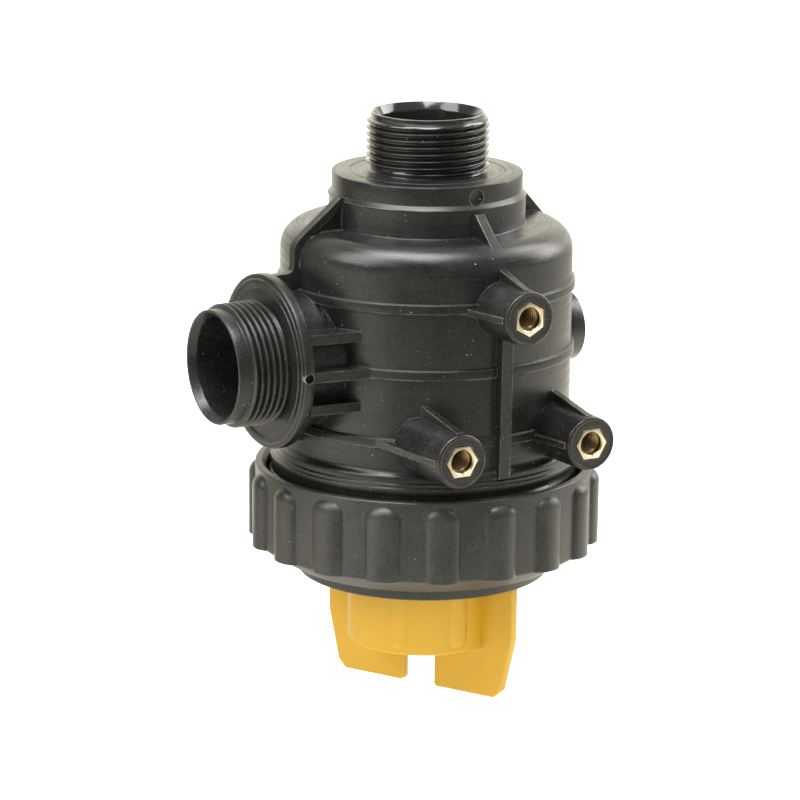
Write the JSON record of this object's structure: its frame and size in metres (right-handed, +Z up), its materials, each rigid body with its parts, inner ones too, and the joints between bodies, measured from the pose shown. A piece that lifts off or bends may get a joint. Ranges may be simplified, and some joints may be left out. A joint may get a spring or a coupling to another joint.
{
  "type": "suction filter with shut-off valve",
  "caption": "Upright suction filter with threaded top and side ports, mounting bosses, a ring nut that clamps the bottom cover, and a winged knob for its shut-off valve.",
  "frame": {"origin": "where the centre lines of the top port and the side port cross, inside the barrel", "axes": "+Z up along the main axis, out of the top port; the side port points to -X; the mounting bosses face -Y"},
  "size_m": [0.1426, 0.128, 0.2024],
  "materials": {
    "black_plastic": "satin glass-filled",
    "dark_grey_plastic": "satin",
    "yellow_plastic": "satin moulded",
    "blue_plastic": "satin",
    "brass": "turned",
    "rubber": "matt",
    "steel": "bright",
    "gauze": "woven"
  },
  "bodies": {
    "body": {"body": "black_plastic", "insert_upper": "brass", "insert_left": "brass", "insert_right": "brass", "valve_seat": "dark_grey_plastic", "seat_o_ring": "rubber", "valve_spring": "steel"},
    "poppet": {"poppet": "dark_grey_plastic", "poppet_gasket": "rubber"},
    "cover": {"cover": "black_plastic", "cover_o_ring": "rubber", "cartridge_frame": "blue_plastic", "filter_mesh": "gauze", "gasket_upper": "rubber", "gasket_lower": "rubber"},
    "ring_nut": {"ring_nut": "black_plastic"},
    "stem": {"valve_stem": "steel", "stem_o_ring_upper": "rubber", "stem_o_ring_lower": "rubber"},
    "knob": {"knob": "yellow_plastic", "knob_screw": "steel"}
  },
  "joints": [
    {"name": "cover_drop", "type": "slide", "parent": "body", "child": "cover", "axis": [0, 0, -1], "range_m": [0, 0.012]},
    {"name": "ring_turn", "type": "hinge", "parent": "cover", "child": "ring_nut", "pos_m": [0, 0, -0.0415], "axis": [0, 0, -1], "range_deg": [0, 720]},
    {"name": "stem_slide", "type": "slide", "parent": "cover", "child": "stem", "axis": [0, 0, -1], "range_m": [0, 0.008]},
    {"name": "knob_turn", "type": "hinge", "parent": "stem", "child": "knob", "pos_m": [0, 0, -0.0801], "axis": [0, 0, -1], "range_deg": [0, 720]},
    {"name": "poppet_slide", "type": "slide", "parent": "body", "child": "poppet", "axis": [0, 0, -1], "range_m": [0, 0.008], "deforming": ["valve_spring"]}
  ],
  "couplings": [
    {"joint": "cover_drop", "follows": "ring_turn", "m_per_rad": 0.0009549},
    {"joint": "stem_slide", "follows": "knob_turn", "m_per_rad": 0.0006366},
    {"joint": "poppet_slide", "follows": "knob_turn", "m_per_rad": 0.0006366}
  ]
}
